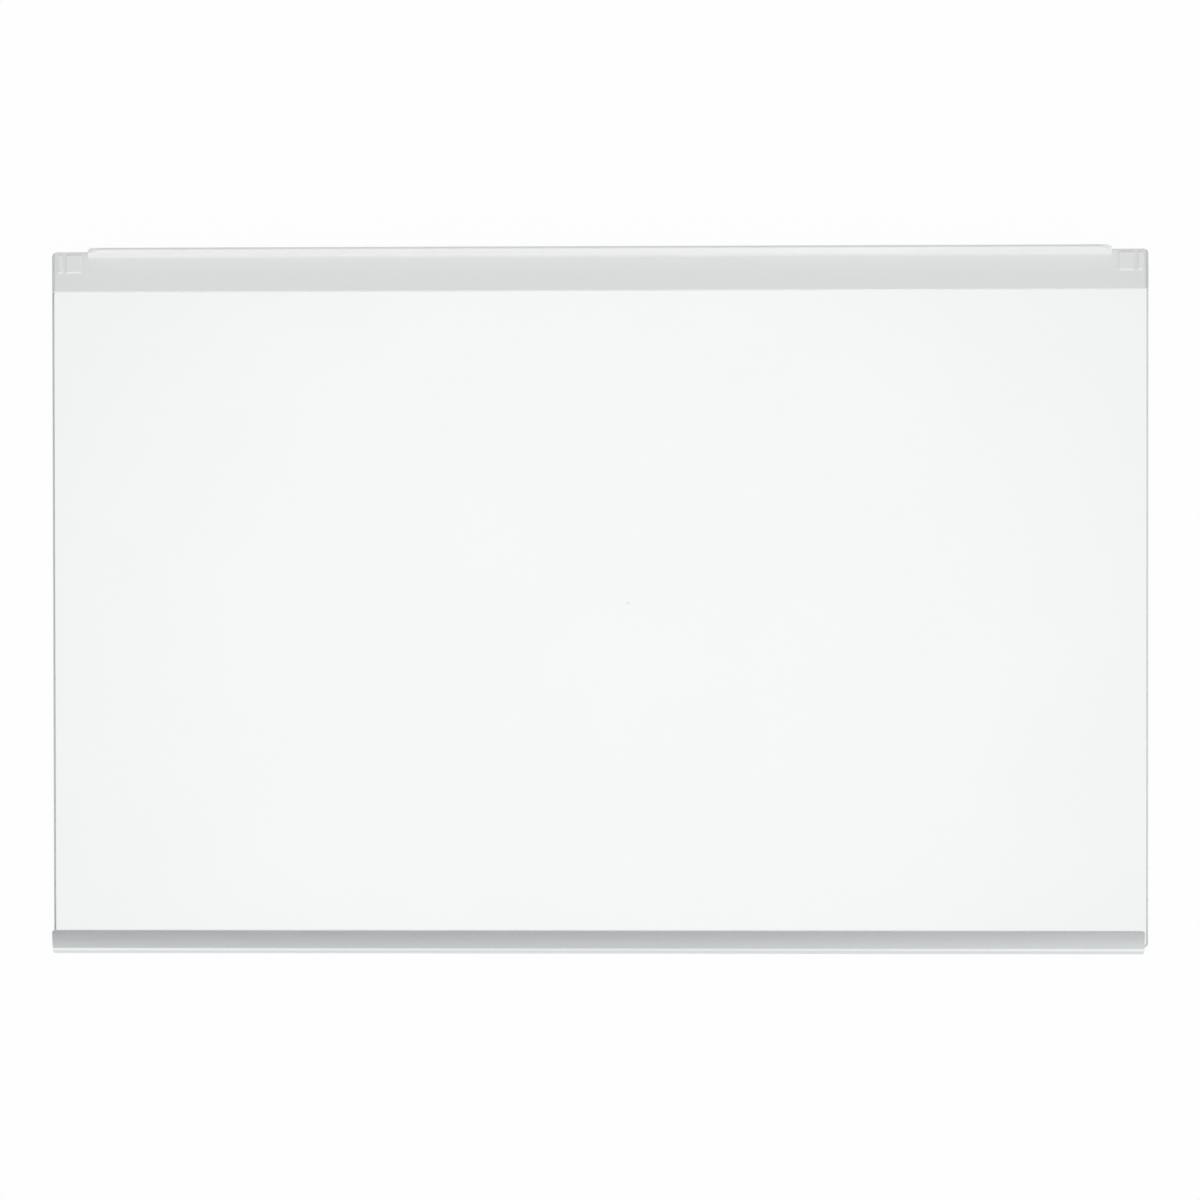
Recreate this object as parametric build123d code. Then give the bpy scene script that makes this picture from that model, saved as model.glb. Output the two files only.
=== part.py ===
from build123d import *
import os

# Fridge glass shelf: a toughened pane held in a silver front trim and a frosted rear trim.
# The rear trim is one moulding with a raised stop lip and two low pads at each corner.
# Millimetres. X runs along the shelf, Y from front to rear, Z up.
# The origin lies under the middle of the shelf, on the surface that the trims rest on.

# Glass pane
glass_width = 472.6
glass_depth = 295.8
glass_thickness = 4.0
glass_corner_radius = 2.0
glass_arris = 0.45           # ground bevel along every long edge

# How the plastic holds the glass
under_flange = 1.5           # plastic under the pane
grip_height = 0.2            # ribs that touch the pane, and so the gap between a flange and the pane
grip_width = 0.6
grip_inset = 1.2             # from a flange's free edge to its rib
edge_gap = 0.3               # from an edge of the pane to the web behind it

# Front trim, measured from the front edge of the pane
front_short = 1.4            # the trim is this much shorter than the pane is wide
front_shift = -1.1           # the trim was pressed on a little to the left
front_cover = 7.4            # reach over the pane
front_under = 5.5            # reach under the pane
front_nose = 3.1             # reach in front of the pane
front_top = 2.1              # top flange at its rear edge
front_fall = 1.9             # drop of the top from its rear edge to the nose
front_crown = 0.3            # bow of the top between those edges
front_nose_radius = 3.6
front_keel_radius = 1.8
front_edge_radius = 0.35
front_corner_radius = 1.1    # of the top, seen from above

# Rear trim, measured from the rear edge of the pane
rear_short = 0.6             # the trim is this much shorter than the pane is wide
rear_cover = 12.8            # reach over the pane
rear_under = 11.0            # reach under the pane
rear_depth = 4.6             # reach behind the pane
rear_top = 1.4               # top plate
rear_web = 1.2               # wall that faces the pane's edge
rear_wall = 1.3              # wall at the back
rear_end = 2.0               # solid ends of the groove between those walls
rear_keel_radius = 0.8
rear_edge_radius = 0.3
rear_rim_radius = 0.5        # all round the top plate
rear_corner_radius = 2.2     # rear corners, seen from above

# Stop lip along the rear trim
lip_base = 1.8
lip_height = 7.0
lip_lean = 1.2               # tip behind the middle of the base
lip_tip_radius = 0.9
lip_root_radius = 1.5
lip_inset = 15.8             # from an end of the trim to the lip
lip_end_radius = 6.0

# Low pads at each rear corner, with a gap between them
pad_side = 2.2               # from an end of the trim to the outer pad
pad_outer = 2.8              # width of the outer pad
pad_gap = 1.0
pad_inner = 7.0              # width of the inner pad
pad_back = 0.9               # from the back of the trim to the pads
pad_length = 8.4             # of both pads, front to rear
pad_height = 0.6
pad_radius = 0.9             # corners of the pads, seen from above
pad_slope = 50               # degrees that the sides of the pads lean in

# Levels
glass_bottom = under_flange + grip_height
glass_top = glass_bottom + glass_thickness
slot_top = glass_top + grip_height
front_crest = slot_top + front_top
rear_crest = slot_top + rear_top
lip_tip = rear_crest + lip_height

# Places from front to rear
lip_front = rear_depth - lip_base
lip_reach = lip_front + lip_base / 2 + lip_lean + lip_tip_radius
glass_front = -(front_nose + glass_depth + lip_reach) / 2 + front_nose
glass_rear = glass_front + glass_depth
trim_back = glass_rear + rear_depth

# Places along the shelf
front_length = glass_width - front_short
rear_length = glass_width - rear_short
rear_left = -rear_length / 2
rear_right = rear_length / 2


def band(start, end, low, high):
    """A rectangle between two places along a section and two levels."""
    return Pos((start + end) / 2, (low + high) / 2) * Rectangle(end - start, high - low)


def rounded(section, corner, radius):
    """The section with the corner nearest to a point rounded."""
    return fillet(section.vertices().sort_by_distance(corner)[0], radius)


def run(section, pane_edge, left, right):
    """A solid of one section, drawn from an edge of the pane, between two places along X."""
    placed = Plane.YZ.offset(left) * Pos(pane_edge, 0) * section
    return extrude(placed, amount=right - left, dir=(1, 0, 0))


def rib(free_edge, inward, low, high):
    """A rib across the gap between a flange and the pane, near the flange's free edge."""
    middle = free_edge + inward * (grip_inset + grip_width / 2)
    return band(middle - grip_width / 2, middle + grip_width / 2, low, high)


def make_glass():
    """Float glass with rounded corners and a ground bevel round both faces."""
    middle = (glass_front + glass_rear) / 2
    outline = Pos(0, middle, glass_bottom) * RectangleRounded(glass_width, glass_depth, glass_corner_radius)
    pane = extrude(outline, amount=glass_thickness, dir=(0, 0, 1))
    faces = pane.faces().sort_by(Axis.Z)
    return chamfer(faces[0].edges() + faces[-1].edges(), glass_arris)


def front_section():
    """A C with a crowned top that falls to a round nose, and a rib on each flange."""
    rear_edge = (front_cover, front_crest)
    nose_edge = (-front_nose, front_crest - front_fall)
    keel_edge = (-front_nose, 0)
    walls = Polyline(
        rear_edge,
        (front_cover, slot_top),
        (-edge_gap, slot_top),
        (-edge_gap, under_flange),
        (front_under, under_flange),
        (front_under, 0),
        keel_edge,
        nose_edge,
    )
    section = make_face([walls, SagittaArc(nose_edge, rear_edge, front_crown)])
    section = rounded(section, nose_edge, front_nose_radius)
    section = rounded(section, keel_edge, front_keel_radius)
    section = rounded(section, rear_edge, front_edge_radius)
    section = rounded(section, (front_under, 0), front_edge_radius)
    section += rib(front_cover, -1, glass_top, slot_top)
    return section + rib(front_under, -1, under_flange, glass_bottom)


def make_front_trim():
    """The front section along the shelf, with its corners rounded as seen from above."""
    left = front_shift - front_length / 2
    depth = front_nose + front_cover
    middle = glass_front - front_nose + depth / 2
    plan = Pos(front_shift, middle) * RectangleRounded(front_length, depth, front_corner_radius)
    trim = run(front_section(), glass_front, left, left + front_length)
    return trim & extrude(plan, amount=front_crest, dir=(0, 0, 1))


def rear_section():
    """A C with a deep top plate, and a rib on its lower flange that carries the pane."""
    section = Polygon(
        (-rear_cover, slot_top),
        (-rear_cover, rear_crest),
        (rear_depth, rear_crest),
        (rear_depth, 0),
        (-rear_under, 0),
        (-rear_under, under_flange),
        (edge_gap, under_flange),
        (edge_gap, slot_top),
        align=None,
    )
    section = rounded(section, (rear_depth, 0), rear_keel_radius)
    section = rounded(section, (-rear_under, 0), rear_edge_radius)
    return section + rib(-rear_under, 1, under_flange, glass_bottom)


def lip_section():
    """A tapered lip that leans back to a round tip and grows out of the top plate with a fillet."""
    tip = Pos(lip_front + lip_base / 2 + lip_lean, lip_tip - lip_tip_radius) * Circle(lip_tip_radius)
    foot = Line((lip_front, rear_crest), (rear_depth, rear_crest))
    blade = make_hull([foot, *tip.edges()])
    plate = band(lip_front - 2 * lip_root_radius, rear_depth, slot_top, rear_crest)
    return rounded(blade + plate, (lip_front, rear_crest), lip_root_radius)


def make_lip():
    """The lip along the trim, its upper corners rounded at both ends."""
    left = rear_left + lip_inset
    right = rear_right - lip_inset
    face = Pos((left + right) / 2, lip_tip / 2) * Rectangle(right - left, lip_tip)
    face = rounded(face, (left, lip_tip), lip_end_radius)
    face = rounded(face, (right, lip_tip), lip_end_radius)
    window = extrude(Plane.XZ * face, amount=glass_rear + lip_reach, dir=(0, 1, 0))
    return run(lip_section(), glass_rear, left, right) & window


def make_pads():
    """The two pads on the top plate at each rear corner, with sloping sides."""
    middle = trim_back - pad_back - pad_length / 2
    outer = rear_right - pad_side - pad_outer / 2
    inner = rear_right - pad_side - pad_outer - pad_gap - pad_inner / 2
    pads = []
    for place, width in ((outer, pad_outer), (inner, pad_inner)):
        for side in (-1, 1):
            outline = Pos(side * place, middle, rear_crest) * RectangleRounded(width, pad_length, pad_radius)
            pads.append(extrude(outline, amount=pad_height, taper=pad_slope))
    return pads


def make_rear_trim():
    """The rear section along the shelf with its rim rounded, then the lip, the pads and the groove."""
    plan = Pos(0, trim_back - rear_length / 2) * Rectangle(rear_length, rear_length)
    plan = rounded(plan, (rear_left, trim_back), rear_corner_radius)
    plan = rounded(plan, (rear_right, trim_back), rear_corner_radius)
    trim = run(rear_section(), glass_rear, rear_left, rear_right)
    trim &= extrude(plan, amount=rear_crest, dir=(0, 0, 1))
    crest = trim.faces().sort_by(Axis.Z)[-1]
    trim = fillet(crest.edges(), rear_rim_radius)
    trim += [make_lip(), *make_pads()]
    groove = band(edge_gap + rear_web, rear_depth - rear_wall, 0, slot_top)
    return trim - run(groove, glass_rear, rear_left + rear_end, rear_right - rear_end)


pieces = {
    "glass_pane": make_glass(),
    "front_trim": make_front_trim(),
    "rear_trim": make_rear_trim(),
}

os.makedirs("parts", exist_ok=True)
for name, piece in pieces.items():
    export_step(piece, f"parts/{name}.step")
    size = piece.bounding_box().size
    print(f"{name}: {size.X:.1f} x {size.Y:.1f} x {size.Z:.1f} mm, {piece.volume / 1000:.1f} cm3")
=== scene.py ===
# %% [markdown]
# # A fridge glass shelf, dressed for its portrait
#
# The shelf is three real pieces: a toughened pane, a silver trim pressed over its front edge,
# and a frosted trim with a stop lip over its rear edge. The solids already have their true
# sections, so the work left for Blender is the finish of every surface, the light and the
# camera. The finishes come in order of difficulty, and each helper where it is first needed.

# %% Load the solids
from math import radians

import bmesh
import bpy
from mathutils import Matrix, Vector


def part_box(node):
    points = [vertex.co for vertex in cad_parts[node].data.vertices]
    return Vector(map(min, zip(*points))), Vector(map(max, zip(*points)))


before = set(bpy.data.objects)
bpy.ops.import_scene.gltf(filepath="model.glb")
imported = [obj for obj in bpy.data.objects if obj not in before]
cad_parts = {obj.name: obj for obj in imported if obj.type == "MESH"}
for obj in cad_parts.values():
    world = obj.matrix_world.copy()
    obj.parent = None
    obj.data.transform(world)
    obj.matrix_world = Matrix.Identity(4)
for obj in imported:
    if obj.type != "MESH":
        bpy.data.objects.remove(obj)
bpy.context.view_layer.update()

MM = 0.001
print("nodes:", ", ".join(sorted(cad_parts)))

# %% [markdown]
# ## A blank finish
#
# Each piece of the real shelf has one finish, so each solid gets one material. A material can
# be put together from many shaders, but one Principled shader covers glass, a silver skin and
# frosted plastic alike, so every finish here starts from it. A value that is the same all over
# a surface is set on the shader's own socket.

# %% Blank finish
def blank_finish(name):
    """A material with one Principled shader, and short cuts to its node tree."""
    material = bpy.data.materials.new(name)
    material.use_nodes = True
    tree = material.node_tree
    shader = tree.nodes["Principled BSDF"]
    return material, tree, shader


def set_sockets(shader, **values):
    """Set constant values, with underscores in the names for spaces."""
    for name, value in values.items():
        shader.inputs[name.replace("_", " ")].default_value = value


def dress(material, name):
    """Give a solid a finish."""
    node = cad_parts[name]
    node.data.materials.clear()
    node.data.materials.append(material)
    print(name, "wears", material.name)


print("pieces to dress:", len(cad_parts))

# %% [markdown]
# ## Patterns in real sizes
#
# No real surface is quite even. An image could be wrapped round a piece to show that, but it
# needs a flat map of the surface. Noise that reads Object coordinates needs none and shows no
# seam. The solids sit unturned at the origin, so one unit of that space is one metre on the
# shelf, and a pattern's size can be written as a real size.

# %% Patterns
def add_node(tree, kind, **settings):
    """A new node with its settings."""
    node = tree.nodes.new(kind)
    for name, value in settings.items():
        setattr(node, name, value)
    return node


def place_in_metres(tree, stretch=(1, 1, 1)):
    """Object coordinates, squeezed along an axis where a pattern is drawn out."""
    where = add_node(tree, "ShaderNodeTexCoord")
    mapping = add_node(tree, "ShaderNodeMapping")
    mapping.inputs["Scale"].default_value = stretch
    tree.links.new(where.outputs["Object"], mapping.inputs["Vector"])
    return mapping.outputs["Vector"]


def noise(tree, place, size, detail=3.0):
    """Cloudy noise whose blotches are about as large as a real size in metres."""
    texture = add_node(tree, "ShaderNodeTexNoise")
    texture.inputs["Scale"].default_value = 1 / size
    texture.inputs["Detail"].default_value = detail
    tree.links.new(place, texture.inputs["Vector"])
    return texture.outputs["Fac"]


print("patterns are measured in metres")

# %% From a pattern to a surface
def ramp(tree, factor, stops):
    """A colour ramp from (position, colour) stops."""
    node = add_node(tree, "ShaderNodeValToRGB")
    points = node.color_ramp.elements
    while len(points) < len(stops):
        points.new(1.0)
    for point, (position, colour) in zip(points, stops):
        point.position = position
        point.color = (*colour, 1)
    tree.links.new(factor, node.inputs["Fac"])
    return node.outputs["Color"]


def spread(tree, factor, low, high, start=0.0, end=1.0):
    """Carry a factor from one range of values to another."""
    node = add_node(tree, "ShaderNodeMapRange")
    node.inputs["From Min"].default_value = start
    node.inputs["From Max"].default_value = end
    node.inputs["To Min"].default_value = low
    node.inputs["To Max"].default_value = high
    tree.links.new(factor, node.inputs["Value"])
    return node.outputs["Result"]


def bump(tree, shader, height, depth):
    """Turn a height pattern into relief of a real depth in metres."""
    node = add_node(tree, "ShaderNodeBump")
    node.inputs["Strength"].default_value = 1.0
    node.inputs["Distance"].default_value = depth
    tree.links.new(height, node.inputs["Height"])
    tree.links.new(node.outputs["Normal"], shader.inputs["Normal"])


print("patterns can drive colour, gloss and relief")

# %% [markdown]
# ## Silver trim
#
# The front trim is an extruded plastic strip with a satin silver skin. Bare metal would mirror
# the room too sharply, so the shader is mostly metallic and fairly rough: its top takes the
# tone of the dim ring overhead, and its nose the light near the table. A speckle about a third
# of a millimetre across stands for the flakes in the skin, and a second pattern is drawn out
# along the strip, as the marks of the extrusion die are.

# %% Silver finish
flake_size = 0.35 * MM
die_mark_width = 0.5 * MM
die_mark_depth = 0.004 * MM
die_mark_stretch = (0.02, 1, 1)
silver_tones = [(0.3, (0.68, 0.70, 0.71)), (0.7, (0.77, 0.79, 0.80))]
silver_roughness = (0.30, 0.42)


def make_silver_finish():
    material, tree, shader = blank_finish("satin_silver_plastic")
    set_sockets(shader, Metallic=0.85, IOR=1.45)
    flakes = noise(tree, place_in_metres(tree), flake_size)
    die_marks = noise(tree, place_in_metres(tree, die_mark_stretch), die_mark_width)
    tree.links.new(ramp(tree, flakes, silver_tones), shader.inputs["Base Color"])
    tree.links.new(spread(tree, die_marks, *silver_roughness), shader.inputs["Roughness"])
    bump(tree, shader, die_marks, die_mark_depth)
    return material


dress(make_silver_finish(), "front_trim")

# %% [markdown]
# ## Frosted trim
#
# The rear trim is a milky grey moulding with a matt skin: light goes in, scatters and comes
# out again, and the pane's edge cannot be seen through it. Scattering under the surface could
# give that depth, but a pale base with a little rough transmission is enough here. The lip and
# the pads stand up and catch more light from the sides, and that light is painted into their
# colour: it grows paler above the level of the plate. The last millimetre or so at each end,
# solid where the rest is hollow, is painted darker as painted shade.
#
# Such changes depend on a place. The ends are read from the solid's box. The plate's level is
# written here, because the lip stands on the plate and hides it from that box.

# %% Where a finish changes
trim_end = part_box("rear_trim")[1].x
plate_level = 7.3 * MM


def along(tree, vector, axis):
    """One coordinate of a vector."""
    node = add_node(tree, "ShaderNodeSeparateXYZ")
    tree.links.new(vector, node.inputs["Vector"])
    return node.outputs[axis]


def compute(tree, operation, first, second=None):
    """A sum on one value, or on a value and a number or a second value."""
    node = add_node(tree, "ShaderNodeMath", operation=operation)
    tree.links.new(first, node.inputs[0])
    if isinstance(second, float):
        node.inputs[1].default_value = second
    elif second is not None:
        tree.links.new(second, node.inputs[1])
    return node.outputs["Value"]


def blend(tree, factor, first, colour):
    """A colour socket that gives way to a plain colour as the factor grows."""
    node = add_node(tree, "ShaderNodeMix", data_type="RGBA")
    node.inputs["B"].default_value = (*colour, 1)
    tree.links.new(factor, node.inputs["Factor"])
    tree.links.new(first, node.inputs["A"])
    return node.outputs["Result"]


print("rear trim ends", round(trim_end, 4), "m from the middle")

# %% Frosted finish
grain_size = 0.6 * MM
grain_depth = 0.006 * MM
# Painted light: from just above the plate to the tops of the lip and pads the colour is painted
# paler, where they catch more light.
painted_light_levels = (plate_level + 0.2 * MM, plate_level + 0.9 * MM)
# Painted shade: over the last millimetre or so at each end the colour is painted darker.
painted_shade_places = (trim_end - 1.6 * MM, trim_end - 1.0 * MM)
plate_tones = [(0.3, (0.905, 0.925, 0.92)), (0.7, (0.93, 0.95, 0.945))]
painted_light_tone = (0.965, 0.98, 0.975)
painted_shade_tone = (0.70, 0.73, 0.73)
frosted_roughness = (0.38, 0.52)


def make_frosted_finish():
    material, tree, shader = blank_finish("frosted_grey_plastic")
    set_sockets(shader, IOR=1.49, Transmission_Weight=0.10)
    place = place_in_metres(tree)
    grain = noise(tree, place, grain_size)
    painted_light_mask = spread(tree, along(tree, place, "Z"), 0.0, 1.0, *painted_light_levels)
    from_middle = compute(tree, "ABSOLUTE", along(tree, place, "X"))
    solid = spread(tree, from_middle, 0.0, 1.0, *painted_shade_places)

    # painted light: paler on the lip and pads
    colour = blend(tree, painted_light_mask, ramp(tree, grain, plate_tones), painted_light_tone)
    # painted shade: darker at the two ends
    colour = blend(tree, solid, colour, painted_shade_tone)
    tree.links.new(colour, shader.inputs["Base Color"])
    tree.links.new(spread(tree, grain, *frosted_roughness), shader.inputs["Roughness"])
    bump(tree, shader, grain, grain_depth)
    return material


dress(make_frosted_finish(), "rear_trim")

# %% [markdown]
# ## Float glass
#
# The pane is cut from float glass, its edges are ground, and then it is toughened. Clear glass
# is almost all transmission, with a trace of green. Three things make it read as a real pane:
# the ground edges, which scatter light and look grey, faint clouds where it was wiped, and one
# speck of dust near the middle. The edge faces could be picked by hand and given a material of
# their own, but the surface's own normal finds them by itself: the two polished faces look
# straight up and down, and everything else was ground. The edges' grey is painted stronger at
# the left end than at the right, as painted shade, since the light comes more from the right.

# %% Ground edges
pane_low, pane_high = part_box("glass_pane")
polished_upright = 0.95
# Painted shade: the ground edges' grey is full at the left end and weaker towards the right,
# where more light falls.
painted_shade_left, painted_shade_right = 1.0, 0.6


def ground_edge(tree):
    """1 on the left edge of the pane, less towards the right as painted shade, 0 on its two
    polished faces.
    """
    normal = add_node(tree, "ShaderNodeNewGeometry").outputs["Normal"]
    upright = compute(tree, "ABSOLUTE", along(tree, normal, "Z"))
    ground = compute(tree, "LESS_THAN", upright, polished_upright)
    across = along(tree, place_in_metres(tree), "X")
    # painted shade: the ground look fades from the left end to the right
    painted_side_shade = spread(tree, across, painted_shade_left, painted_shade_right, pane_low.x, pane_high.x)
    return compute(tree, "MULTIPLY", ground, painted_side_shade)


print("pane is", round(pane_high.x - pane_low.x, 4), "m wide")

# %% Dust
speck_place = (12.6 * MM, -0.7 * MM, pane_high.z)
speck_radius = 0.78 * MM
speck_squeeze = (0.7, 1, 1)


def dust_speck(tree):
    """1 in the middle of the speck on the upper face, fading to 0 at its rim."""
    distance = add_node(tree, "ShaderNodeVectorMath", operation="DISTANCE")
    middle = [place * squeeze for place, squeeze in zip(speck_place, speck_squeeze)]
    distance.inputs[1].default_value = middle
    tree.links.new(place_in_metres(tree, speck_squeeze), distance.inputs[0])
    return spread(tree, distance.outputs["Value"], 1.0, 0.0, 0.0, speck_radius)


print("speck lies at", [round(place, 4) for place in speck_place])

# %% Glass finish
cloud_size = 60 * MM
glass_tones = [(0.35, (0.938, 0.956, 0.951)), (0.65, (0.946, 0.960, 0.956))]
dust_tone = (0.62, 0.64, 0.64)
ground_tone = (0.42, 0.46, 0.45)
ground_clearness = 0.55
ground_roughness = 0.5
wiped_roughness = (0.0, 0.03)


def make_glass_finish():
    material, tree, shader = blank_finish("clear_float_glass")
    set_sockets(shader, IOR=1.5)
    edge = ground_edge(tree)
    clearness = spread(tree, edge, 1.0, ground_clearness)
    clouds = noise(tree, place_in_metres(tree), cloud_size, detail=2.0)
    colour = blend(tree, dust_speck(tree), ramp(tree, clouds, glass_tones), dust_tone)
    colour = blend(tree, edge, colour, ground_tone)
    tree.links.new(colour, shader.inputs["Base Color"])
    tree.links.new(clearness, shader.inputs["Transmission Weight"])

    polish = add_node(tree, "ShaderNodeMix", data_type="FLOAT")
    polish.inputs["B"].default_value = ground_roughness
    tree.links.new(edge, polish.inputs["Factor"])
    tree.links.new(spread(tree, clouds, *wiped_roughness), polish.inputs["A"])
    tree.links.new(polish.outputs["Result"], shader.inputs["Roughness"])
    return material


dress(make_glass_finish(), "glass_pane")
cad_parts["glass_pane"].visible_shadow = False

# %% [markdown]
# ## Floor
#
# The shelf lies on a white table. A plain white sheet would gather shadows round the trims, so
# this one glows, as a light table does. It is set a little lower than the trims' undersides,
# because two faces in the same place would flicker, and it is wide enough to fill a low view.

# %% Floor
floor_size = 40.0
floor_drop = 0.3 * MM
floor_glow = 0.973


def make_floor():
    sheet = bmesh.new()
    bmesh.ops.create_grid(sheet, x_segments=1, y_segments=1, size=floor_size / 2)
    bmesh.ops.translate(sheet, verts=sheet.verts, vec=(0, 0, -floor_drop))
    mesh = bpy.data.meshes.new("floor")
    sheet.to_mesh(mesh)
    sheet.free()
    material, tree, shader = blank_finish("white_table")
    set_sockets(shader, Base_Color=(0.02, 0.02, 0.02, 1), Roughness=0.9, Specular_IOR_Level=0.0)
    set_sockets(shader, Emission_Color=(1, 1, 1, 1), Emission_Strength=floor_glow)
    mesh.materials.append(material)
    return bpy.data.objects.new("floor", mesh)


scene = bpy.context.scene
floor = make_floor()
scene.collection.objects.link(floor)
print("floor is", floor_size, "m wide")

# %% [markdown]
# ## Light
#
# Lamps with a shape of their own would show as hard patches in the pane, so one soft dome
# lights everything. Glass and silver mirror it, so its tones are placed with care: a pale patch
# straight overhead brightens the middle of the pane, a dim ring round it leaves the pane's
# sides and the flat tops darker, and a bright band below the ring lights the lip and the
# rounded nose. The dome is dim again at the horizon, so that the pane still shows as glass when
# it is seen from low down. The ring is dimmer to the left, which darkens that end of the silver
# trim. The band is stronger at the two front corners, as if a lamp stood at each, and whoever
# holds the camera shades the middle between them.

# %% Tones of the dome
horizon_tones = [(0.0, 0.50), (0.05, 0.70), (0.12, 1.0), (0.23, 1.0)]
zenith_tones = [(0.88, 0.755), (1.0, 0.845)]
left_tones = [*horizon_tones, (0.50, 0.35), (0.78, 0.11), *zenith_tones]
right_tones = [*horizon_tones, (0.50, 0.84), (0.78, 0.22), *zenith_tones]
zenith_shift = (0.02, 0.03, 0)


def height_of_sight(tree, where):
    """0 where a line of sight meets the horizon, 1 where it meets the zenith."""
    mapping = add_node(tree, "ShaderNodeMapping")
    mapping.inputs["Location"].default_value = zenith_shift
    mapping.inputs["Scale"].default_value = (1, 1, 0)
    gradient = add_node(tree, "ShaderNodeTexGradient", gradient_type="SPHERICAL")
    tree.links.new(where, mapping.inputs["Vector"])
    tree.links.new(mapping.outputs["Vector"], gradient.inputs["Vector"])
    return gradient.outputs["Fac"]


def rings(tree, height, tones):
    """Grey rings from the horizon to the zenith."""
    return ramp(tree, height, [(place, (tone, tone, tone)) for place, tone in tones])


print("dome has", len(left_tones), "tones on each side")

# %% Lamps
lamp_tones = [(0.0, 0.0), (0.12, 1.0), (0.30, 1.0), (0.50, 0.0)]
front_middle = -0.25
front_corner = 1.05
corner_lean = 0.35
right_side = 0.2


def lean(tree, where, direction):
    """How far a line of sight leans in a direction."""
    node = add_node(tree, "ShaderNodeVectorMath", operation="DOT_PRODUCT")
    node.inputs[1].default_value = direction
    tree.links.new(where, node.inputs[0])
    return node.outputs["Value"]


def lamp_light(tree, where, height):
    """How much the band gains or loses on each side."""
    aside = compute(tree, "ABSOLUTE", lean(tree, where, (1, 0, 0)))
    corners = spread(tree, aside, front_middle, front_corner, 0.0, corner_lean)
    lamps = compute(tree, "MULTIPLY", lean(tree, where, (0, -1, 0)), corners)
    lamps = compute(tree, "ADD", lamps, lean(tree, where, (right_side, 0, 0)))
    return compute(tree, "MULTIPLY", lamps, rings(tree, height, lamp_tones))


print("front corners gain", front_corner, "and the middle", front_middle)

# %% Studio dome
dome_strength = 1.1
side_lean = 0.3


def make_dome():
    world = bpy.data.worlds.new("studio_dome")
    world.use_nodes = True
    tree = world.node_tree
    where = add_node(tree, "ShaderNodeTexCoord").outputs["Generated"]
    height = height_of_sight(tree, where)

    sides = add_node(tree, "ShaderNodeMix", data_type="RGBA")
    rightness = spread(tree, lean(tree, where, (1, 0, 0)), 0.0, 1.0, -side_lean, side_lean)
    tree.links.new(rightness, sides.inputs["Factor"])
    tree.links.new(rings(tree, height, left_tones), sides.inputs["A"])
    tree.links.new(rings(tree, height, right_tones), sides.inputs["B"])

    # A gain of 0 leaves the dome at its own strength, -1 puts it out and 1 doubles it.
    lamps = lamp_light(tree, where, height)
    strength = spread(tree, lamps, 0.0, 2 * dome_strength, -1.0, 1.0)
    background = tree.nodes["Background"]
    tree.links.new(sides.outputs["Result"], background.inputs["Color"])
    tree.links.new(strength, background.inputs["Strength"])
    return world


scene.world = make_dome()
scene.view_settings.view_transform = "Standard"
print("world is", scene.world.name)

# %% [markdown]
# ## Camera
#
# The photograph looks straight down from well above the shelf, a hair off square. A long lens
# keeps the lip and the nose from leaning outwards. A camera can be made to track a target, but
# then it would be square to it, so its place and turn are set directly.

# %% Camera
camera_place = (26.8 * MM, 14.2 * MM, 1300 * MM)
camera_turn = (-0.599, 1.161, -0.077)
camera_lens = 90.05

camera_data = bpy.data.cameras.new("camera")
camera_data.lens = camera_lens
camera_data.sensor_width = 36.0
camera_data.clip_start = 0.01
camera = bpy.data.objects.new("camera", camera_data)
camera.location = camera_place
camera.rotation_euler = [radians(angle) for angle in camera_turn]
scene.collection.objects.link(camera)
scene.camera = camera
print("camera is", round(camera_place[2], 2), "m above the table")
